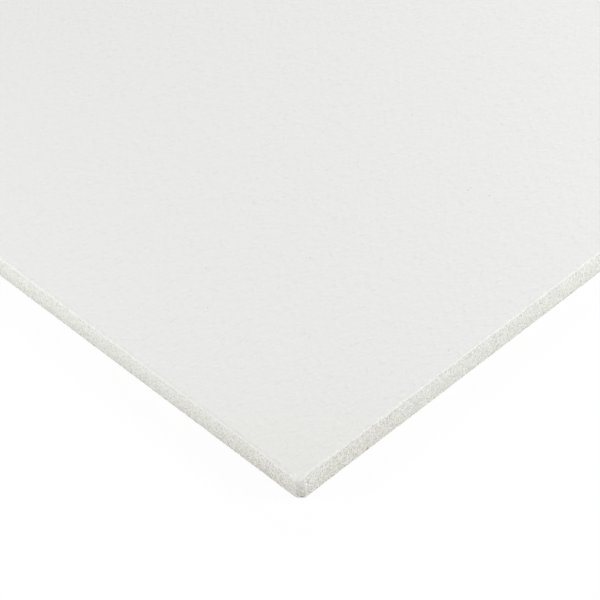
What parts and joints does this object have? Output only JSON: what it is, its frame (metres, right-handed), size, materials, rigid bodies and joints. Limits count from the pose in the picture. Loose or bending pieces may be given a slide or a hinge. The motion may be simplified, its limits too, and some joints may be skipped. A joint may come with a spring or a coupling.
{
  "type": "ceiling tile",
  "caption": "Square lay-in ceiling tile: a flat mineral fibre board with a smooth painted face, square cut edges and softly rolled arrises.",
  "frame": {"origin": "centre of the board's back, which lies on the floor", "axes": "+Z out of the painted face, through the thickness; +X and +Y square to the cut edges, +X to a side with the crisper face arris and +Y to an end with the softer one"},
  "size_m": [0.6032, 0.6032, 0.0159],
  "materials": {
    "painted_fibreboard": "matte",
    "face_paint": "matte",
    "cut_edge": "matte",
    "bare_back": "matte"
  },
  "bodies": {
    "root": {"tile_board": "painted_fibreboard"}
  },
  "joints": []
}
